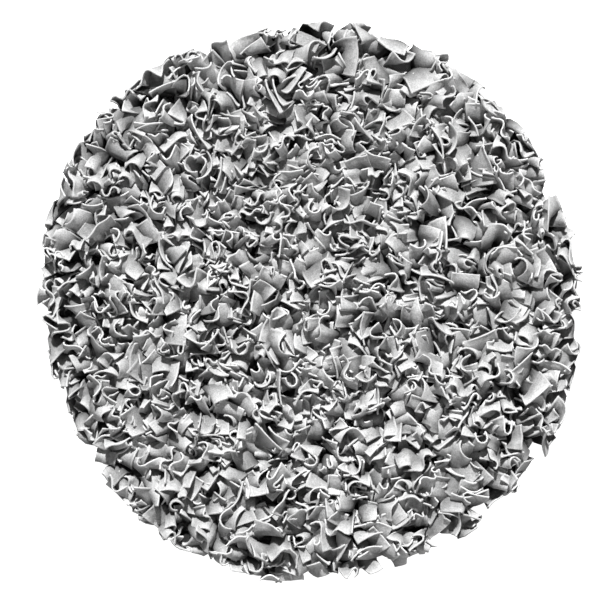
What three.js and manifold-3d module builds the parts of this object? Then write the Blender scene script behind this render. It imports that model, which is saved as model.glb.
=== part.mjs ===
// A round shag rug: a thick pile of cut jersey strips, rooted in one round ground cloth.
// It is one soft slab with a flat underside, a lumpy top of tufts and ridges, and strips
// that stand out of its rim in three tiers, the lowest of them lying level on the floor.
// Units are millimetres, +Z is up, and the underside lies on Z = 0.

import * as THREE from "three";
import { mergeVertices } from "three/addons/utils/BufferGeometryUtils.js";
import Module from "manifold-3d";

// Driving sizes
const MEAN_RADIUS = 350; // the pile's outline, about which the locks end
const PILE_HEIGHT = 45; // from the floor to the tallest tuft
const VALLEY_HEIGHT = 21; // from the floor to the lowest gap between tufts
const RIM_HEIGHT = 15; // of the slab's edge, where the pile falls away
const RIM_DEPTH = 17; // how far the slab's edge lies inside the outline
const FOOT_DEPTH = 22; // how far the edge of its underside does
const LOCK_THICKNESS = 3.6; // a strip of jersey whose long edges have rolled up

// The outline is a circle that bulges a little: each wave swings the radius in and out
// count times in a turn, and peak is the angle of its first bulge, in degrees.
const OUTLINE_WAVES = [
  { count: 2, swing: 7, peak: 105 },
  { count: 3, swing: 2, peak: 11 },
  { count: 4, swing: 4, peak: 61 },
];

// The tufts stand on a lattice of rings with 6, 12, 18 and so on points to a ring.
const RINGS = 20;
const TUFT_SPREAD = 7; // how much the tufts' tops differ in height
const RIDGE_DROP = 5; // a ridge between two tufts is this much lower than a tuft
const RIDGE_SHARE = 0.35; // of the points between tufts, those that hold a ridge
const VALLEY_SPREAD = 8;
const RIM_SPREAD = 6;
const SHIFT_SHARE = 0.28; // a point is moved from its place by up to this share of a ring
const SHAPE_SEED = 11;

// The locks of each tier are spaced evenly round the rim. Heights are those of a lock's
// middle plane. root is inside the slab and bend at the outline, and past is how far the
// tip reaches beyond the outline. first is the angle of the first lock, in degrees, and
// uneven is how much the heights differ from lock to lock.
const FLOOR_PLANE = LOCK_THICKNESS / 2;
const TIERS = [
  { count: 44, first: 0, width: 27, root: 15, bend: FLOOR_PLANE, tip: FLOOR_PLANE, past: -1, uneven: 0 },
  { count: 44, first: 3, width: 25, root: 19, bend: 19, tip: 13, past: 2, uneven: 3 },
  { count: 44, first: 5, width: 26, root: 27, bend: 36, tip: 28, past: -2, uneven: 6 },
];
const ROOT_DEPTH = 44; // how far inside the outline a lock is rooted
const BEND_DEPTH = 13; // how far inside it a lock bends down
const CREST_SHARE = 0.6; // of the way from root to bend, where a lock is level with its bend
const LOCK_STEPS = 3;
const SWAYS = 7; // the locks lean to one side and back this many times round the rim
const SWAY = 13; // by at most this, in millimetres at the tip
const PAST_SPREAD = 6;
const WIDTH_SPREAD = 6;

const TURN = 2 * Math.PI;
const random = THREE.MathUtils.seededRandom;

// A random number from -1 to 1.
function uneven() {
  return 2 * random() - 1;
}

// The outline's distance from the middle of the rug, in the direction of an angle.
function outline(angle) {
  let radius = MEAN_RADIUS;
  for (const { count, swing, peak } of OUTLINE_WAVES) {
    radius += swing * Math.cos(count * (angle - THREE.MathUtils.degToRad(peak)));
  }
  return radius;
}

// A point in plan, at a distance from the middle and moved sideways from there.
function planPoint(angle, distance, sideways, height) {
  const across = new THREE.Vector2(-Math.sin(angle), Math.cos(angle)).multiplyScalar(sideways);
  return new THREE.Vector3(
    distance * Math.cos(angle) + across.x,
    distance * Math.sin(angle) + across.y,
    height,
  );
}

function pointsInRing(ring) {
  return Math.max(1, 6 * ring);
}

// The place in the list of a ring's first point.
function firstOfRing(ring) {
  return ring === 0 ? 0 : 1 + 3 * ring * (ring - 1);
}

// The pile's height at a point of the lattice. Every second point of every second ring is
// a tuft, and the points between them are ridges or valleys.
function pileHeight(ring, place) {
  if (ring === RINGS) return RIM_HEIGHT + RIM_SPREAD * uneven();
  const tuft = ring % 2 === 0 && place % 2 === 0;
  if (tuft) return PILE_HEIGHT - TUFT_SPREAD * random();
  if (random() < RIDGE_SHARE) return PILE_HEIGHT - RIDGE_DROP - TUFT_SPREAD * random();
  return VALLEY_HEIGHT + VALLEY_SPREAD * random();
}

// The triangles between a ring of points and the next smaller one.
function joinRings(triangles, ring) {
  const outer = firstOfRing(ring);
  const inner = firstOfRing(ring - 1);
  const outerCount = pointsInRing(ring);
  const innerCount = pointsInRing(ring - 1);
  for (let side = 0; side < 6; side++) {
    for (let i = 0; i < ring; i++) {
      const a = outer + side * ring + i;
      const b = outer + ((side * ring + i + 1) % outerCount);
      const c = inner + ((side * (ring - 1) + i) % innerCount);
      triangles.push(a, b, c);
      if (i < ring - 1) {
        const d = inner + ((side * (ring - 1) + i + 1) % innerCount);
        triangles.push(b, d, c);
      }
    }
  }
}

// The slab: the lumpy top, a rim that leans in to the floor, and a flat underside.
function slab() {
  const points = [];
  const triangles = [];
  const ringWidth = MEAN_RADIUS / RINGS;
  for (let ring = 0; ring <= RINGS; ring++) {
    for (let place = 0; place < pointsInRing(ring); place++) {
      const angle = (TURN * place) / pointsInRing(ring);
      const edge = outline(angle) - RIM_DEPTH;
      const shift = ring < RINGS ? SHIFT_SHARE * ringWidth : 0;
      const distance = (edge * ring) / RINGS + shift * uneven();
      points.push(planPoint(angle, distance, shift * uneven(), pileHeight(ring, place)));
    }
    if (ring > 0) joinRings(triangles, ring);
  }
  const rim = firstOfRing(RINGS);
  const rimCount = pointsInRing(RINGS);
  const foot = points.length;
  for (let place = 0; place < rimCount; place++) {
    const angle = (TURN * place) / rimCount;
    points.push(planPoint(angle, outline(angle) - FOOT_DEPTH, 0, 0));
  }
  const centre = points.length;
  points.push(new THREE.Vector3(0, 0, 0));
  for (let place = 0; place < rimCount; place++) {
    const next = (place + 1) % rimCount;
    triangles.push(rim + place, foot + place, foot + next);
    triangles.push(rim + place, foot + next, rim + next);
    triangles.push(foot + next, foot + place, centre);
  }
  return new THREE.BufferGeometry().setFromPoints(points).setIndex(triangles);
}

// One lock: a flat strip with four sides that leaves the slab, bends and ends square.
function lock(tier, angle) {
  const width = tier.width + WIDTH_SPREAD * uneven();
  const sway = SWAY * Math.sin(SWAYS * angle);
  const past = tier.past + PAST_SPREAD * uneven();
  const lift = tier.uneven * uneven();
  const edge = outline(angle);
  const root = planPoint(angle, edge - ROOT_DEPTH, -sway, tier.root);
  const bend = planPoint(angle, edge - BEND_DEPTH, 0, tier.bend + lift / 2);
  const tip = planPoint(angle, edge + past, sway, tier.tip + lift);
  const spine = new THREE.CurvePath();
  const crest = root.clone().lerp(bend, CREST_SHARE).setZ(bend.z);
  spine.add(new THREE.QuadraticBezierCurve3(root, crest, bend));
  spine.add(new THREE.LineCurve3(bend, tip));

  // The strip is drawn along X and then laid along the spine.
  const strip = new THREE.BoxGeometry(1, width, LOCK_THICKNESS, LOCK_STEPS, 1, 1);
  const { position } = strip.attributes;
  const up = new THREE.Vector3(0, 0, 1);
  for (let i = 0; i < position.count; i++) {
    const along = position.getX(i) + 0.5;
    const tangent = spine.getTangent(along);
    const across = new THREE.Vector3().crossVectors(up, tangent).normalize();
    const normal = new THREE.Vector3().crossVectors(tangent, across).normalize();
    const point = spine
      .getPoint(along)
      .addScaledVector(across, position.getY(i))
      .addScaledVector(normal, position.getZ(i));
    position.setXYZ(i, point.x, point.y, point.z);
  }
  return strip;
}

const wasm = await Module();
wasm.setup();

// A closed geometry as a solid that can be joined to another.
function toSolid(geometry) {
  geometry.deleteAttribute("normal");
  geometry.deleteAttribute("uv");
  const merged = mergeVertices(geometry);
  return new wasm.Manifold(
    new wasm.Mesh({
      numProp: 3,
      vertProperties: merged.attributes.position.array,
      triVerts: new Uint32Array(merged.index.array),
    }),
  );
}

function toGeometry(solid) {
  const mesh = solid.getMesh();
  return new THREE.BufferGeometry()
    .setAttribute("position", new THREE.BufferAttribute(mesh.vertProperties, 3))
    .setIndex(new THREE.BufferAttribute(mesh.triVerts, 1));
}

// The slab with every lock fused to it at the root.
function pile() {
  let solid = toSolid(slab());
  for (const tier of TIERS) {
    for (let i = 0; i < tier.count; i++) {
      const angle = (TURN * i) / tier.count + THREE.MathUtils.degToRad(tier.first);
      solid = solid.add(toSolid(lock(tier, angle)));
    }
  }
  return toGeometry(solid);
}

random(SHAPE_SEED);

const greyJersey = new THREE.MeshStandardMaterial({
  color: 0xc4c4c4,
  roughness: 0.95,
  metalness: 0,
});
const shagPile = new THREE.Mesh(pile(), greyJersey);
shagPile.name = "shag_pile";

// The rug is set so that the origin is at the middle of its box, on the floor.
shagPile.geometry.computeBoundingBox();
const middle = shagPile.geometry.boundingBox.getCenter(new THREE.Vector3());
shagPile.position.set(-middle.x, -middle.y, 0);

const rug = new THREE.Group();
rug.add(shagPile);

export default rug;
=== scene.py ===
"""A round shag rug of cut jersey strips, seen from above on a pale floor.

About two thousand strips are rooted in a ground cloth and simulated as small sheets of
cloth: they grow out of their roots, fold, crowd each other and flop over at the rim.
The simulation works in millimetres and the scene in metres, in the frame's own axes.
"""

import math

import bpy
import numpy as np
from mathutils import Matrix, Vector


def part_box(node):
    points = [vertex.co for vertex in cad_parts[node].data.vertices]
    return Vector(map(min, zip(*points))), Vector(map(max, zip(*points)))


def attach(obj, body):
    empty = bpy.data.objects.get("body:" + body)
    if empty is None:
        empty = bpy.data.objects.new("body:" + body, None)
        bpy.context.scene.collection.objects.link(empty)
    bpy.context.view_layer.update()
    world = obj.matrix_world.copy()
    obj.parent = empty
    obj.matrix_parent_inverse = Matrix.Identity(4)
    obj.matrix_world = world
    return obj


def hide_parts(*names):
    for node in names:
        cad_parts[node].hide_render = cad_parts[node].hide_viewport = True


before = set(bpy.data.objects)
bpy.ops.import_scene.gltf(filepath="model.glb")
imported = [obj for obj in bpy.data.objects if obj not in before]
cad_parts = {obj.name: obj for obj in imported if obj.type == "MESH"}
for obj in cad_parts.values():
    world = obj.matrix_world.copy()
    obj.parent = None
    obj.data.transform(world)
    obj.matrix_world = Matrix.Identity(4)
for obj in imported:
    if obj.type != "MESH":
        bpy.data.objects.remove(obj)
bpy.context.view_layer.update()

MM = 0.001
BODY = "root"
NODE = "shag_pile"
SEED = 6

# The rug's outline, as on the solid: a circle that bulges a little. Each wave swings the
# radius in and out count times in a turn, and peak is the angle of a bulge, in degrees.
MEAN_RADIUS = 350.0
OUTLINE_WAVES = (
    {"count": 2, "swing": 7.0, "peak": 105.0},
    {"count": 3, "swing": 2.0, "peak": 11.0},
    {"count": 4, "swing": 4.0, "peak": 61.0},
)

# The strips, in millimetres. Each one is sewn down at its root. At some places both ends of
# a longer strip stand up, and count here as two.
STRIP_WIDTH, WIDTH_SPREAD, WIDTH_LIMITS = 35.0, 7.0, (22.0, 48.0)
STRIP_LENGTH, LENGTH_SPREAD, LENGTH_LIMITS = 47.0, 6.0, (34.0, 54.0)
CLOTH_THICKNESS = 1.4
EDGE_BEAD, BEAD_SPREAD = 1.15, 0.45  # how much thicker the rolled cut edges are
ROOT_SPACING = 18.6
ROOT_JITTER = 0.28  # of the spacing
ROOT_DEPTH = 9.0  # how far inside the outline the outermost strips are rooted
ROOT_HEIGHT = 1.8
LATTICE_REACH = 1.1  # how far the lattice goes, in mean radii, before it is cut to the outline
PAIR_SHARE = 0.68
PAIR_GAP = 3.0
BARE_SHARE = 0.1  # of the places, those without a strip

# How a strip starts: small, gathered at its root, wavy and tilted.
START_SIZE = 0.26
GATHER = 0.6
START_TILT = math.radians(42)
START_SIDE_TILT = math.radians(25)
START_SWELL = (1.0, 2.6)
SWELL_LOSS = 0.4  # of its waves, what a strip has lost at its tip
START_TURNS = (0.5, 0.75, 1.0, 1.25)
START_NOISE = 0.15

# How the strips are folded lengthwise. A fold has a place across the strip and a width, both
# as shares of the strip's width, and a turn in degrees.
FOLD_KINDS = (
    {"share": 0.30, "folds": ((0.50, 175, 0.17),)},
    {"share": 0.16, "folds": ((0.30, 120, 0.16), (0.72, -120, 0.16))},
    {"share": 0.12, "folds": ((0.30, 165, 0.14),)},
    {"share": 0.08, "folds": ((0.20, 110, 0.12), (0.50, -130, 0.12), (0.80, 110, 0.12))},
    {"share": 0.26, "folds": ((0.50, 210, 0.45),)},
    {"share": 0.08, "folds": ((0.50, 35, 0.40),)},
)
FOLD_STRENGTH = (0.9, 1.35)
FOLD_SHIFT = 0.08
FACING_SHARE = 0.5  # of the pairs, those whose two strips fold towards each other
EDGE_CURL, EDGE_WIDTH = 0.12, 0.16  # radians a millimetre, where a cut edge rolls

# Some strips fold over, at a place along them that shifts from strip to strip.
FLOP_SHARE = 0.25
FLOP_TURN, FLOP_PLACE, FLOP_WIDTH = 95.0, 0.5, 0.22
FLOP_SHIFT = 0.12
FLOP_STRENGTH = (0.7, 1.1)
FLOP_FOLDS = 0.3  # a strip that folds over keeps this share of its lengthwise folds
LEAN = 0.012

# The cut edges have stretched by these shares, which makes them wavy.
TIP_FRILL = 0.14
SIDE_FRILL = 0.11

# The pile is combed this way and that in a few long waves, and outwards at the rim.
COMB_WAVES = 6
COMB_LENGTHS = (90.0, 210.0)
COMB = 0.15  # of a strip's height
RIM_WIDTH = 40.0
RIM_LEAN = 0.6

# The simulation
ROWS, COLUMNS = 11, 10
LAYER_GAP = 3.1  # the middles of two layers of cloth stay this far apart
START_GAP = 0.4
STEPS, GROW_STEPS = ((220, 140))
WEIGHT = 0.032  # how far gravity moves a point in one step
DAMPING = 0.8
LONGEST_MOVE = 0.35
BEND_ACROSS, BEND_ALONG = 0.2, 0.14
DIAGONAL_STRETCH = 1.02
SHEAR = 0.35
PAIR_STEPS = 6
PAIR_MARGIN = 1.5
NEAR_COLUMNS = 3  # columns of one strip this near each other may touch
PUSH = 0.45  # of an overlap, what each of the two points moves
WALL_REACH = (-1.0, 15.0)  # how far past the outline a strip may go
WALL_PUSH = 0.3
LOW, HIGH = 0.5 * CLOTH_THICKNESS + EDGE_BEAD, 53.0  # a strip stays between these heights
TIP_STRETCH = (1 + TIP_FRILL * np.linspace(0, 1, ROWS) ** 2).astype(np.float32)[:, None, None]
SIDE_STRETCH = (1 + SIDE_FRILL * np.linspace(-1, 1, COLUMNS) ** 4).astype(np.float32)[:, None]

# The finer mesh of a strip has a narrow row of faces along its cut edges.
COLUMN_PLACES = np.concatenate([[0, 0.032, 0.07], np.linspace(0.16, 0.84, 8), [0.93, 0.968, 1]])
ROW_PLACES = np.concatenate([np.linspace(0, 0.86, 5), [0.955, 0.978, 1]])
SECTORS = 6  # the pile is kept as this many pieces, each a sector of the disc
STRIP_OFFSET = 7.0  # keeps the mottling of one strip from going on in the next

# The flat map of the pile for textures. Each strip has a cell with its two sides beside each
# other and the band of its edge below them, in shares of the cell.
MAP_NAME = "OFBake"
CELL_ASPECT = 1.4
SIDE_SIZE = (0.46, 0.88)
FRONT_CORNER = (0.02, 0.10)
BACK_CORNER = (0.52, 0.10)
BAND_SIZE = (0.96, 0.04)
BAND_CORNER = (0.02, 0.02)

# The ground cloth, which lies on the floor
GROUND_DEPTH = 8.0  # how far inside the outline its edge lies
GROUND_LIFT = 0.2
GROUND_THICKNESS = 1.4
GROUND_CELLS = 48
LOWEST = 0.3  # of any strip

# The jersey: light grey, each strip a little different and mottled, with painted shade that darkens it
# towards its root.
JERSEY_FINISH = {
    "Roughness": 0.88,
    "Specular IOR Level": 0.25,
    "Sheen Weight": 0.12,
    "Sheen Roughness": 0.5,
}
TONES = (0.365, 0.475)
TONE_SPREAD = 2.5  # the tones lie this many standard deviations either side of the middle
# How much paler the cut edges are than their strip: partly the raw cut cotton, partly a painted highlight.
EDGE_PALE = 0.01
NOISE_RANGE = (0.3, 0.7)  # nearly all of the noise lies between these
NOISE_DETAIL = 2
MOTTLE_SIZE, MOTTLE = 6.0, (0.84, 1.13)
SPECKLE_SIZE, SPECKLE = 1.5, (0.77, 1.18)
# The painted shade at the root fades between the places of ROOT_REACH along a strip, and the pale of
# the cut edges, partly the raw cut cotton and partly a painted highlight, comes in between those of
# EDGE_REACH, with the shares of EDGE_SHARE.
# Painted shade: how dark a strip's colour gets at its root, where the pile shades it.
ROOT_PAINTED_SHADE, ROOT_REACH = 0.02, (0.35, 1.0)
EDGE_SHARE, EDGE_REACH = (0.03, 0.75), (0.4, 0.95)
CREASE_SIZE, CREASE_DEPTH, CREASE = 11.0, 2.2, 0.5
RUMPLE_SIZE, RUMPLE_DEPTH, RUMPLE, RUMPLE_DETAIL = 2.6, 0.5, 0.7, 3
WALE, COURSE, STITCH_DEPTH, STITCH = 1.3, 1.0, 0.25, 0.5
STITCH_SLANT = 2.0
STITCH_LOW = 0.4  # the height of a stitch where it dips under the next one

# The canvas: a plain weave, with painted shade that darkens it where the threads dip.
THREAD = 1.5
THREAD_DEPTH, THREAD_RELIEF = 0.3, 0.8
WEAVE_PAINTED_SHADE_TONES = (0.34, 0.52)
BLOTCH_SIZE, BLOTCH, BLOTCH_DETAIL = 9.0, (0.85, 1.1), 4
CANVAS_FINISH = {"Roughness": 0.92, "Specular IOR Level": 0.2, "Sheen Weight": 0.08}

# The main light comes from the far side and a weak broad one from the near side. Angles are in
# degrees, and spread is the width of the lamp as seen from the rug. The floor is as white as
# the backdrop.
LIGHTS = (
    {"name": "key", "azimuth": 92.0, "elevation": 38.0, "energy": 8.8, "spread": 3.5},
    {"name": "front", "azimuth": 270.0, "elevation": 18.0, "energy": 1.8, "spread": 60.0},
)
FILL = 0.15
FLOOR_REACH = 30.0  # metres from the middle to a side
FLOOR_FINISH = {
    "Base Color": (0.92, 0.92, 0.92, 1),
    "Roughness": 0.9,
    "Emission Color": (1, 1, 1, 1),
    "Emission Strength": 0.95,
}

# The camera looks straight down. The photograph's frame is 600 pixels wide, and the rug
# spans 560 of them from top to bottom, with its middle a little right of the frame's.
FRAME_PIXELS = 600
RUG_PIXELS = 560
MIDDLE_RIGHT_PIXELS = 11
CAMERA_HEIGHT = 2.4
FOCUS_HEIGHT = 0.02
SENSOR = 36.0


def outline(angle):
    """The outline's distance from the middle, in the direction of an angle."""
    radius = MEAN_RADIUS
    for wave in OUTLINE_WAVES:
        radius = radius + wave["swing"] * np.cos(wave["count"] * (angle - math.radians(wave["peak"])))
    return radius


def inside(x, y):
    """How far a place lies inside the outline."""
    return outline(np.arctan2(y, x)) - np.hypot(x, y)


def root_points(rng):
    """The strips' places: a slightly uneven lattice inside the outline."""
    row_step = ROOT_SPACING * math.sqrt(3) / 2
    reach = int(MEAN_RADIUS * LATTICE_REACH / row_step)
    j, i = np.mgrid[-reach:reach + 1, -reach:reach + 1]
    points = np.stack([(i + 0.5 * (j % 2)) * ROOT_SPACING, j * row_step], -1).reshape(-1, 2)
    points += rng.uniform(-ROOT_JITTER, ROOT_JITTER, points.shape) * ROOT_SPACING
    kept = inside(*points.T) > ROOT_DEPTH
    kept &= rng.random(len(points)) > BARE_SHARE
    return points[kept]


def fold(place, middle, turn, width):
    """A fold's curl at each place, in radians for the whole width or length of a strip."""
    return math.radians(turn) * np.exp(-((place - middle) / width) ** 2) / (width * math.sqrt(math.pi))


def curl_across(rng, places, second, width):
    """Each strip's own curl at each column, in radians for each millimetre."""
    count = places.max() + 1
    u = np.linspace(0, 1, COLUMNS)[:, None] + rng.uniform(-1, 1, count) * FOLD_SHIFT
    shapes = [sum(fold(u, *each) for each in kind["folds"]) for kind in FOLD_KINDS]
    kind = rng.choice(len(shapes), count, p=[kind["share"] for kind in FOLD_KINDS])
    sign = rng.choice([-1.0, 1.0], count) * rng.uniform(*FOLD_STRENGTH, count)
    facing = rng.random(count) < FACING_SHARE
    curl = (np.choose(kind, shapes) * sign)[:, places] / width
    curl = np.where(second & facing[places], -curl, curl)
    for side in (u, 1 - u):
        roll = EDGE_CURL * np.exp(-(side[:, places] / EDGE_WIDTH) ** 2)
        curl = curl + roll * rng.uniform(-1, 1, len(places))
    return curl


def lean_along(rng, flops, length):
    """Each strip's own curl at each row, which makes some of the strips fold over."""
    v = np.linspace(0, 1, ROWS)[:, None]
    sign = rng.choice([-1.0, 1.0], len(flops)) * rng.uniform(*FLOP_STRENGTH, len(flops))
    place = FLOP_PLACE + rng.uniform(-FLOP_SHIFT, FLOP_SHIFT, len(flops))
    folded = fold(v, place, FLOP_TURN, FLOP_WIDTH) * sign / length
    return np.where(flops, folded, rng.uniform(-1, 1, len(flops)) * LEAN)


def comb(rng, roots):
    """How far each place's strips lean along X and Y, as a share of their height."""
    field = np.zeros_like(roots)
    for _ in range(COMB_WAVES):
        direction, push, phase = rng.uniform(0, 2 * np.pi, 3)
        number = 2 * np.pi / rng.uniform(*COMB_LENGTHS)
        wave = np.sin(number * (roots @ (np.cos(direction), np.sin(direction))) + phase)
        field += wave[:, None] * (np.cos(push), np.sin(push))
    field *= COMB / math.sqrt(COMB_WAVES)
    rim = np.clip(1 - inside(*roots.T) / RIM_WIDTH, 0, 1)
    outwards = roots / np.linalg.norm(roots, axis=1, keepdims=True)
    return field + RIM_LEAN * rim[:, None] * outwards


def first_points(rng, roots, places, second, width, length):
    """The strips' points at the start, an array [axis, row, column, strip]."""
    u = np.linspace(-0.5, 0.5, COLUMNS)[None, :, None]
    v = np.linspace(0, 1, ROWS)[:, None, None]
    count = len(roots)
    across = u * width * START_SIZE * (GATHER + (1 - GATHER) * v)
    swell = rng.uniform(*START_SWELL, count)[places]
    turns = rng.choice(START_TURNS, count)[places]
    phase = rng.uniform(0, 2 * np.pi, count)[places]
    out = swell * (1 - SWELL_LOSS * v) * np.sin(2 * np.pi * turns * (u + 0.5) + phase)
    up = v * length * START_SIZE + 0 * u
    side_tilt = rng.uniform(-1, 1, len(places)) * START_SIDE_TILT
    across, up = across * np.cos(side_tilt) + up * np.sin(side_tilt), up * np.cos(side_tilt)
    tilt = rng.uniform(-1, 1, count)[places] * START_TILT
    tilt = np.where(second, np.abs(tilt), tilt)
    out, up = out + up * np.sin(tilt) + PAIR_GAP * second, up * np.cos(tilt)
    turn = rng.uniform(0, 2 * np.pi, count)[places]
    x, y = roots[places].T
    lean_x, lean_y = comb(rng, roots)[places].T
    points = np.stack([
        x + across * np.cos(turn) - out * np.sin(turn) + up * lean_x,
        y + across * np.sin(turn) + out * np.cos(turn) + up * lean_y,
        up + ROOT_HEIGHT,
    ])
    return (points + rng.normal(0, START_NOISE, points.shape)).astype(np.float32)


def first_strips(rng):
    """The strips as they start, with their sizes and the curls that they grow into."""
    roots = root_points(rng)
    paired = np.flatnonzero(rng.random(len(roots)) < PAIR_SHARE)
    places = np.concatenate([np.arange(len(roots)), paired])
    second = np.arange(len(places)) >= len(roots)
    width = np.clip(rng.normal(STRIP_WIDTH, WIDTH_SPREAD, len(roots)), *WIDTH_LIMITS)[places]
    length = np.clip(rng.normal(STRIP_LENGTH, LENGTH_SPREAD, len(places)), *LENGTH_LIMITS)
    points = first_points(rng, roots, places, second, width, length)
    flops = rng.random(len(places)) < FLOP_SHARE
    curl = curl_across(rng, places, second, width) * np.where(flops, FLOP_FOLDS, 1)
    lean = lean_along(rng, flops, length)
    return {
        "points": points,
        "place": places,
        "width": width.astype(np.float32),
        "length": length.astype(np.float32),
        "curl": curl.astype(np.float32),
        "lean": lean.astype(np.float32),
    }


def sizes(vectors):
    return np.sqrt((vectors * vectors).sum(0)) + 1e-6


def hold(first, second, distance, stiffness):
    """Moves pairs of points towards their distance."""
    between = second - first
    between *= 0.5 * stiffness * (1 - distance / sizes(between))
    first += between
    second -= between


def hold_cloth(points, column_step, row_step):
    """Keeps the cloth from stretching along its threads, and partly from shearing."""
    wide, long = column_step * TIP_STRETCH, row_step * SIDE_STRETCH
    for start in (0, 1):
        end = start + (COLUMNS - start) // 2 * 2
        hold(points[:, :, start:end:2], points[:, :, start + 1:end:2], wide, 1.0)
    for start in (0, 1):
        end = start + (ROWS - start) // 2 * 2
        hold(points[:, start:end:2], points[:, start + 1:end:2], long, 1.0)
    diagonal = np.sqrt(column_step ** 2 + row_step ** 2) * DIAGONAL_STRETCH
    hold(points[:, :-1, :-1], points[:, 1:, 1:], diagonal, SHEAR)
    hold(points[:, 1:, :-1], points[:, :-1, 1:], diagonal, SHEAR)


def differences(points, axis):
    """Central differences along rows or columns, one-sided at the ends."""
    moved = np.moveaxis(points, axis, 1)
    result = np.empty_like(moved)
    result[:, 1:-1] = moved[:, 2:] - moved[:, :-2]
    result[:, 0] = moved[:, 1] - moved[:, 0]
    result[:, -1] = moved[:, -1] - moved[:, -2]
    return np.moveaxis(result, 1, axis)


def cloth_normals(points):
    a, b = differences(points, 2), differences(points, 1)
    normal = np.stack([
        a[1] * b[2] - a[2] * b[1],
        a[2] * b[0] - a[0] * b[2],
        a[0] * b[1] - a[1] * b[0],
    ])
    return normal / sizes(normal)


def bend(before, middle, after, target, stiffness):
    """Bends three points in a row towards their own curl."""
    change = (before + after - 2 * middle - target) * stiffness
    middle += change
    change *= 0.5
    before -= change
    after -= change


def bend_cloth(points, strips, column_step, row_step):
    normal = cloth_normals(points)
    target = normal[:, :, 1:-1] * (strips["curl"][1:-1] * column_step ** 2)
    bend(points[:, :, :-2], points[:, :, 1:-1], points[:, :, 2:], target, BEND_ACROSS)
    target = normal[:, 1:-1] * (strips["lean"][1:-1, None] * row_step ** 2)
    bend(points[:, :-2], points[:, 1:-1], points[:, 2:], target, BEND_ALONG)


def near_pairs(points, reach):
    """Pairs of points nearer than reach, of two strips or of far columns on one strip."""
    count = points.shape[-1]
    place = points.reshape(3, -1)
    cell = ((place - place.min(1, keepdims=True)) / reach).astype(np.int32) + 1
    high, deep = cell[1].max() + 2, cell[2].max() + 2
    key = (cell[0] * high + cell[1]) * deep + cell[2]
    order = np.argsort(key, kind="stable").astype(np.int32)
    key = key[order]
    x, y, z = (place[axis][order] for axis in range(3))
    strip = order % count
    column = order // count % COLUMNS
    held = np.bincount(key, minlength=(cell[0].max() + 3) * high * deep)
    first = np.concatenate([[0], np.cumsum(held)]).astype(np.int32)
    here = np.arange(len(key), dtype=np.int32)
    found = []
    for right, up in ((0, 0), (1, 0), (0, 1), (1, 1), (1, -1)):
        other = key + (right * high + up) * deep
        low = here + 1 if (right, up) == (0, 0) else first[other - 1]
        number = np.maximum(first[other + 2] - low, 0)
        ends = np.cumsum(number)
        a = np.repeat(here, number)
        b = np.arange(ends[-1], dtype=np.int32) + np.repeat(low - (ends - number).astype(np.int32), number)
        far = (strip[a] != strip[b]) | (np.abs(column[a] - column[b]) > NEAR_COLUMNS)
        a, b = a[far], b[far]
        near = (x[a] - x[b]) ** 2 + (y[a] - y[b]) ** 2 + (z[a] - z[b]) ** 2 < reach * reach
        found.append((order[a[near]], order[b[near]]))
    return tuple(np.concatenate(side) for side in zip(*found))


def keep_apart(points, pairs, gap):
    """Pushes layers of cloth apart where they are nearer than the gap."""
    a, b = pairs
    place = points.reshape(3, -1)
    between = place[:, a] - place[:, b]
    distance = sizes(between)
    hit = distance < gap
    a, b, between, distance = a[hit], b[hit], between[:, hit], distance[hit]
    push = between * (PUSH * (gap - distance) / distance)
    total = place.shape[1]
    for axis in range(3):
        place[axis] += np.bincount(a, push[axis], total) - np.bincount(b, push[axis], total)


def keep_inside(points, reach):
    """Keeps the strips above the floor, under the pile's top and inside the outline."""
    np.clip(points[2], LOW, HIGH, out=points[2])
    past = np.maximum(-inside(points[0], points[1]) - reach, 0)
    points[:2] *= 1 - WALL_PUSH * past / np.hypot(points[0], points[1])


def grow(strips, rng):
    """Lets the strips grow to their size while they curl, sag and push each other away."""
    points = strips["points"].copy()
    roots = points[:, 0].copy()
    middle = roots.mean(1, keepdims=True)
    reach = rng.uniform(*WALL_REACH, points.shape[-1]).astype(np.float32)
    previous = points.copy()
    for step in range(STEPS):
        grown = min(1, step / GROW_STEPS)
        size = START_SIZE + (1 - START_SIZE) * grown
        gap = LAYER_GAP * (START_GAP + (1 - START_GAP) * grown)
        column_step = strips["width"] * (size / (COLUMNS - 1))
        row_step = strips["length"] * (size / (ROWS - 1))
        if step % PAIR_STEPS == 0:
            pairs = near_pairs(points, gap + PAIR_MARGIN)
        move = np.clip((points - previous) * DAMPING, -LONGEST_MOVE, LONGEST_MOVE)
        previous = points.copy()
        points += move
        points[2] -= WEIGHT
        for _ in range(2):
            hold_cloth(points, column_step, row_step)
            bend_cloth(points, strips, column_step, row_step)
        for _ in range(1 if grown < 1 else 2):
            keep_apart(points, pairs, gap)
        keep_inside(points, reach)
        opening = GATHER + (1 - GATHER) * grown
        points[:, 0] = middle + (roots - middle) * opening
    return points


def curve_weights(count, places):
    """Weights that put smooth curves through count even points, at places from 0 to 1."""
    weights = np.zeros((len(places), count + 2))
    for row, place in enumerate(places * (count - 1)):
        start = min(int(place), count - 2)
        t = place - start
        weights[row, start:start + 4] = (
            -0.5 * t + t ** 2 - 0.5 * t ** 3,
            1 - 2.5 * t ** 2 + 1.5 * t ** 3,
            0.5 * t + 2 * t ** 2 - 1.5 * t ** 3,
            -0.5 * t ** 2 + 0.5 * t ** 3,
        )
    # The points past the ends carry on in a straight line.
    weights[:, 1] += 2 * weights[:, 0]
    weights[:, 2] -= weights[:, 0]
    weights[:, -2] += 2 * weights[:, -1]
    weights[:, -3] -= weights[:, -1]
    return weights[:, 1:-1]


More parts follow.
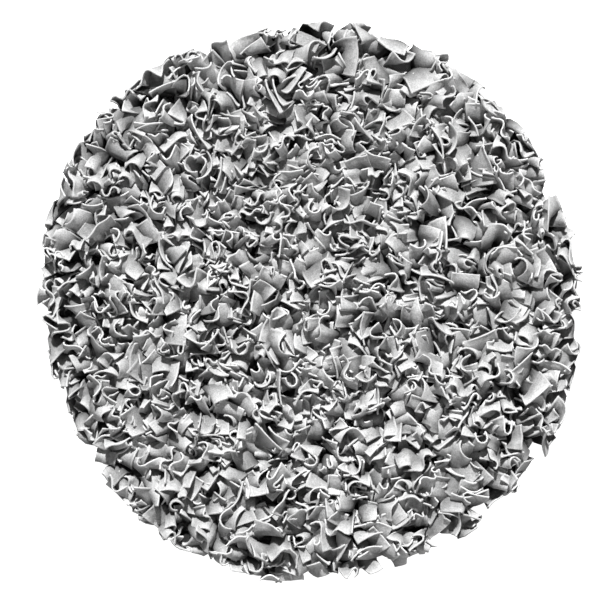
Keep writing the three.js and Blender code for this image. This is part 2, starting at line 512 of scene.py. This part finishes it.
def thick_strips(points, rng):
    """The points of the closed strips, [strip, side, row, column, axis], in metres."""
    along = curve_weights(ROWS, ROW_PLACES)
    across = curve_weights(COLUMNS, COLUMN_PLACES)
    fine = np.einsum("ar,bc,krcn->kabn", along, across, points, optimize=True)
    half = np.full(fine.shape[1:], 0.5 * CLOTH_THICKNESS)
    bead = 0.5 * EDGE_BEAD * rng.uniform(1 - BEAD_SPREAD, 1 + BEAD_SPREAD, fine.shape[1:])
    half[:, (1, -2)] += bead[:, (1, -2)]
    half[-2, 2:-2] += bead[-2, 2:-2]
    offset = cloth_normals(fine) * half
    sides = np.stack([fine + offset, fine - offset])
    np.maximum(sides[:, 2], LOWEST, out=sides[:, 2])
    return sides.transpose(4, 0, 2, 3, 1) * MM


def grid_faces(index):
    """The four-sided faces between the rows and columns of a grid of points."""
    corners = [index[:-1, :-1], index[:-1, 1:], index[1:, 1:], index[1:, :-1]]
    return np.stack(corners, -1).reshape(-1, 4)


def grid_edge(index):
    """The points round the edge of a grid, in order."""
    return np.concatenate([index[0, :-1], index[:-1, -1], index[-1, :0:-1], index[:0:-1, 0]])


def sheet_faces(rows, columns):
    """The faces of a closed sheet: its front, its back and the band round its edge."""
    index = np.arange(rows * columns).reshape(rows, columns)
    front = grid_faces(index)
    back = front[:, ::-1] + rows * columns
    edge = grid_edge(index)
    following = np.roll(edge, -1)
    band = np.stack([following, edge, edge + rows * columns, following + rows * columns], -1)
    return front, back, band


def cell_map(front, band):
    """The corners of a strip's faces on the flat map, in shares of the strip's cell."""
    place = np.stack(np.meshgrid(COLUMN_PLACES, ROW_PLACES), -1).reshape(-1, 2)
    step = np.arange(len(band))
    across = np.stack([step + 1, step, step, step + 1], -1) / len(band)
    along = np.broadcast_to((0, 0, 1, 1), across.shape)
    return np.concatenate([
        place[front] * SIDE_SIZE + FRONT_CORNER,
        place[front[:, ::-1]] * SIDE_SIZE + BACK_CORNER,
        np.stack([across, along], -1) * BAND_SIZE + BAND_CORNER,
    ])


def flat_map(cell, count):
    """The corners of the faces of all the strips of a piece, from one strip's cell."""
    columns = math.ceil(math.sqrt(count / CELL_ASPECT))
    rows = math.ceil(count / columns)
    number = np.arange(count)
    corner = np.stack([number % columns, number // columns], -1)
    return (cell + corner[:, None, None]) / (columns, rows)


def new_mesh(name, points, faces):
    """A smooth mesh of four-sided faces, from arrays."""
    mesh = bpy.data.meshes.new(name)
    mesh.vertices.add(points.size // 3)
    mesh.vertices.foreach_set("co", points.astype(np.float32).ravel())
    mesh.loops.add(faces.size)
    mesh.loops.foreach_set("vertex_index", faces.astype(np.int32).ravel())
    mesh.polygons.add(faces.size // 4)
    mesh.polygons.foreach_set("loop_start", np.arange(0, faces.size, 4, dtype=np.int32))
    mesh.polygons.foreach_set("loop_total", np.full(faces.size // 4, 4, np.int32))
    mesh.polygons.foreach_set("use_smooth", np.ones(faces.size // 4, bool))
    mesh.update(calc_edges=True)
    return mesh


def set_numbers(mesh, name, values):
    attribute = mesh.attributes.new(name, "FLOAT", "POINT")
    attribute.data.foreach_set("value", values.astype(np.float32).ravel())


def set_vectors(mesh, name, values):
    attribute = mesh.attributes.new(name, "FLOAT_VECTOR", "POINT")
    attribute.data.foreach_set("vector", values.astype(np.float32).ravel())


def add_object(name, data):
    made = bpy.data.objects.new(name, data)
    bpy.context.collection.objects.link(made)
    return made


def build_pile(rng):
    """The pile's pieces, one for each sector of the disc."""
    strips = first_strips(rng)
    points = grow(strips, rng)
    closed = thick_strips(points, rng)
    tone = rng.normal(0, 1, len(closed))[strips["place"]]
    angle = np.arctan2(points[1].mean((0, 1)), points[0].mean((0, 1)))
    sector = ((angle / (2 * np.pi) + 0.5) * SECTORS).astype(int) % SECTORS

    front, back, band = sheet_faces(len(ROW_PLACES), len(COLUMN_PLACES))
    faces = np.concatenate([front, back, band])
    cell = cell_map(front, band)
    shape = closed.shape[:-1]
    every = (slice(None), None, None, None)
    edge = np.zeros(shape)
    edge[..., (0, 1, -2, -1)] = 1
    edge[:, :, -2:] = 1
    along = np.broadcast_to(ROW_PLACES[:, None], shape)
    cloth = np.stack([
        COLUMN_PLACES * strips["width"][every] + np.zeros(shape),
        along * strips["length"][every],
        STRIP_OFFSET * np.arange(len(closed))[every] + np.zeros(shape),
    ], -1)
    tone = np.broadcast_to(tone[every], shape)

    pieces = []
    for number in range(SECTORS):
        name = f"pile_{number + 1}"
        own = sector == number
        first = closed[0, ..., 0].size * np.arange(own.sum())
        mesh = new_mesh(name, closed[own], faces + first[:, None, None])
        mesh.uv_layers.new(name=MAP_NAME).data.foreach_set(
            "uv", flat_map(cell, own.sum()).astype(np.float32).ravel())
        set_numbers(mesh, "cut_edge", edge[own])
        set_numbers(mesh, "along", along[own])
        set_numbers(mesh, "tone", tone[own])
        set_vectors(mesh, "cloth", cloth[own])
        pieces.append(add_object(name, mesh))
    return pieces


def ground_outline(angle):
    return outline(angle) - GROUND_DEPTH


def build_ground():
    """The round ground cloth under the pile, a flat closed sheet."""
    side = np.linspace(-1, 1, GROUND_CELLS + 1)
    x, y = np.meshgrid(side, side)
    # A square grid is rounded into a disc, and the disc takes the outline's bulges.
    x, y = x * np.sqrt(1 - y ** 2 / 2), y * np.sqrt(1 - x ** 2 / 2)
    reach = ground_outline(np.arctan2(y, x))
    heights = np.array([GROUND_LIFT + GROUND_THICKNESS, GROUND_LIFT])
    layer = np.stack([x * reach, y * reach, 0 * x], -1)
    points = layer + heights[:, None, None, None] * (0, 0, 1)
    faces = np.concatenate(sheet_faces(GROUND_CELLS + 1, GROUND_CELLS + 1))
    mesh = new_mesh("ground_cloth", points * MM, faces)
    set_vectors(mesh, "cloth", points)
    return add_object("ground_cloth", mesh)


def new_material(name, finish):
    """A material with its node tree and its shader, whose named inputs are set."""
    material = bpy.data.materials.new(name)
    material.use_nodes = True
    shader = material.node_tree.nodes["Principled BSDF"]
    for socket, value in finish.items():
        shader.inputs[socket].default_value = value
    return material, material.node_tree, shader


def add_node(tree, kind, **settings):
    node = tree.nodes.new(kind)
    for name, value in settings.items():
        setattr(node, name, value)
    return node


def read(tree, name, output="Fac"):
    """What a mesh attribute holds."""
    return add_node(tree, "ShaderNodeAttribute", attribute_name=name).outputs[output]


def compute(tree, operation, first, second=None):
    """One step of arithmetic on sockets or numbers."""
    node = add_node(tree, "ShaderNodeMath", operation=operation)
    for socket, value in zip(node.inputs, (first, second)):
        if isinstance(value, (int, float)):
            socket.default_value = value
        elif value is not None:
            tree.links.new(value, socket)
    return node.outputs["Value"]


def spread(tree, value, low, high, to_low, to_high):
    """Maps a value from one range onto another, and holds it there."""
    node = add_node(tree, "ShaderNodeMapRange")
    for name, number in (("From Min", low), ("From Max", high), ("To Min", to_low), ("To Max", to_high)):
        node.inputs[name].default_value = number
    tree.links.new(value, node.inputs["Value"])
    return node.outputs["Result"]


def noise(tree, place, size, detail=NOISE_DETAIL):
    """Noise with spots of a size in the place's own unit."""
    node = add_node(tree, "ShaderNodeTexNoise")
    node.inputs["Scale"].default_value = 1 / size
    node.inputs["Detail"].default_value = detail
    tree.links.new(place, node.inputs["Vector"])
    return node.outputs["Fac"]


def relief(tree, height, depth, strength, below=None):
    """A normal for a relief whose depth is in millimetres, laid over another relief."""
    node = add_node(tree, "ShaderNodeBump")
    node.inputs["Distance"].default_value = depth * MM
    node.inputs["Strength"].default_value = strength
    tree.links.new(height, node.inputs["Height"])
    if below:
        tree.links.new(below, node.inputs["Normal"])
    return node.outputs["Normal"]


def stitches(tree, x, y):
    """The height of knit jersey: columns of stitches that slant to both sides."""
    column = compute(tree, "ABSOLUTE", compute(tree, "SINE", compute(tree, "MULTIPLY", x, np.pi / WALE)))
    turn = compute(tree, "MULTIPLY", y, 2 * np.pi / COURSE)
    slanted = compute(tree, "ADD", turn, compute(tree, "MULTIPLY", column, STITCH_SLANT))
    row = spread(tree, compute(tree, "SINE", slanted), -1, 1, STITCH_LOW, 1)
    return compute(tree, "MULTIPLY", column, row)


def weave(tree, x, y):
    """The height of a plain weave: threads that pass over and under each other."""
    across = compute(tree, "SINE", compute(tree, "MULTIPLY", x, np.pi / THREAD))
    along = compute(tree, "SINE", compute(tree, "MULTIPLY", y, np.pi / THREAD))
    return spread(tree, compute(tree, "MULTIPLY", across, along), -1, 1, 0, 1)


def jersey_material():
    """Knit cotton with creases and mottling, painted shade that darkens the roots, and cut edges paler
    partly from the raw cotton and partly from a painted highlight.
    """
    material, tree, shader = new_material("jersey", JERSEY_FINISH)
    cloth = read(tree, "cloth", "Vector")
    along = read(tree, "along")

    tone = spread(tree, read(tree, "tone"), -TONE_SPREAD, TONE_SPREAD, *TONES)
    mottle = spread(tree, noise(tree, cloth, MOTTLE_SIZE), *NOISE_RANGE, *MOTTLE)
    speckle = spread(tree, noise(tree, cloth, SPECKLE_SIZE), *NOISE_RANGE, *SPECKLE)
    face = compute(tree, "MULTIPLY", compute(tree, "MULTIPLY", tone, mottle), speckle)
    # Painted shade: each strip's colour darkens towards its root.
    face = compute(tree, "MULTIPLY", face, spread(tree, along, *ROOT_REACH, ROOT_PAINTED_SHADE, 1))
    # The cut edges grow paler towards the tips: partly the raw cut cotton, partly a painted highlight, and
    # they skip the painted shade.
    edge = spread(tree, tone, 0, 1, EDGE_PALE, 1 + EDGE_PALE)
    edge_pale_and_highlight = spread(tree, along, *EDGE_REACH, *EDGE_SHARE)
    edge_pale_and_highlight = compute(tree, "MULTIPLY", read(tree, "cut_edge"), edge_pale_and_highlight)
    mix = add_node(tree, "ShaderNodeMix", data_type="RGBA")
    tree.links.new(edge_pale_and_highlight, mix.inputs["Factor"])
    tree.links.new(face, mix.inputs["A"])
    tree.links.new(edge, mix.inputs["B"])
    tree.links.new(mix.outputs["Result"], shader.inputs["Base Color"])

    axes = add_node(tree, "ShaderNodeSeparateXYZ")
    tree.links.new(cloth, axes.inputs["Vector"])
    creased = relief(tree, noise(tree, cloth, CREASE_SIZE), CREASE_DEPTH, CREASE)
    rumpled = relief(tree, noise(tree, cloth, RUMPLE_SIZE, RUMPLE_DETAIL), RUMPLE_DEPTH, RUMPLE, creased)
    knit = relief(tree, stitches(tree, axes.outputs["X"], axes.outputs["Y"]), STITCH_DEPTH, STITCH, rumpled)
    tree.links.new(knit, shader.inputs["Normal"])
    return material


def canvas_material():
    """Woven cotton, for the ground cloth, with painted shade where the threads dip."""
    material, tree, shader = new_material("canvas", CANVAS_FINISH)
    cloth = read(tree, "cloth", "Vector")
    axes = add_node(tree, "ShaderNodeSeparateXYZ")
    tree.links.new(cloth, axes.inputs["Vector"])
    height = weave(tree, axes.outputs["X"], axes.outputs["Y"])
    # Painted shade: the weave's colour darkens where its threads dip.
    tone = spread(tree, height, 0, 1, *WEAVE_PAINTED_SHADE_TONES)
    mottle = spread(tree, noise(tree, cloth, BLOTCH_SIZE, BLOTCH_DETAIL), *NOISE_RANGE, *BLOTCH)
    tree.links.new(compute(tree, "MULTIPLY", tone, mottle), shader.inputs["Base Color"])
    tree.links.new(relief(tree, height, THREAD_DEPTH, THREAD_RELIEF), shader.inputs["Normal"])
    return material


def build_floor():
    """A pale floor that glows a little and casts no light back on the rug."""
    corners = [(x * FLOOR_REACH, y * FLOOR_REACH, 0) for x, y in ((-1, -1), (1, -1), (1, 1), (-1, 1))]
    mesh = bpy.data.meshes.new("floor")
    mesh.from_pydata(corners, [], [(0, 1, 2, 3)])
    floor = add_object("floor", mesh)
    mesh.materials.append(new_material("pale_floor", FLOOR_FINISH)[0])
    floor.visible_diffuse = False


def direction(azimuth, elevation):
    """A unit vector towards a place in the sky, both angles in degrees, from +X."""
    a, e = math.radians(azimuth), math.radians(elevation)
    return Vector((math.cos(a) * math.cos(e), math.sin(a) * math.cos(e), math.sin(e)))


def light_scene():
    for light in LIGHTS:
        sun = bpy.data.lights.new(light["name"], "SUN")
        sun.energy = light["energy"]
        sun.angle = math.radians(light["spread"])
        towards = direction(light["azimuth"], light["elevation"])
        lamp = add_object(light["name"], sun)
        lamp.rotation_euler = towards.to_track_quat("Z", "Y").to_euler()
    world = bpy.data.worlds.new("studio")
    world.use_nodes = True
    background = world.node_tree.nodes["Background"]
    background.inputs["Strength"].default_value = FILL
    background.inputs["Color"].default_value = (1, 1, 1, 1)
    bpy.context.scene.world = world
    bpy.context.scene.view_settings.view_transform = "Standard"


def place_camera():
    low, high = (Vector(corner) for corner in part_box(NODE))
    pixel = (high.y - low.y) / RUG_PIXELS
    camera = bpy.data.cameras.new("camera")
    camera.sensor_width = SENSOR
    camera.lens = SENSOR * (CAMERA_HEIGHT - FOCUS_HEIGHT) / (FRAME_PIXELS * pixel)
    placed = add_object("camera", camera)
    placed.location = (-MIDDLE_RIGHT_PIXELS * pixel, 0, CAMERA_HEIGHT)
    bpy.context.scene.camera = placed


rng = np.random.default_rng(SEED)
place_camera()
light_scene()
build_floor()
ground = build_ground()
pile = build_pile(rng)
ground.data.materials.append(canvas_material())
jersey = jersey_material()
for piece in pile:
    piece.data.materials.append(jersey)
for piece in [ground, *pile]:
    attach(piece, BODY)
    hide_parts(NODE)
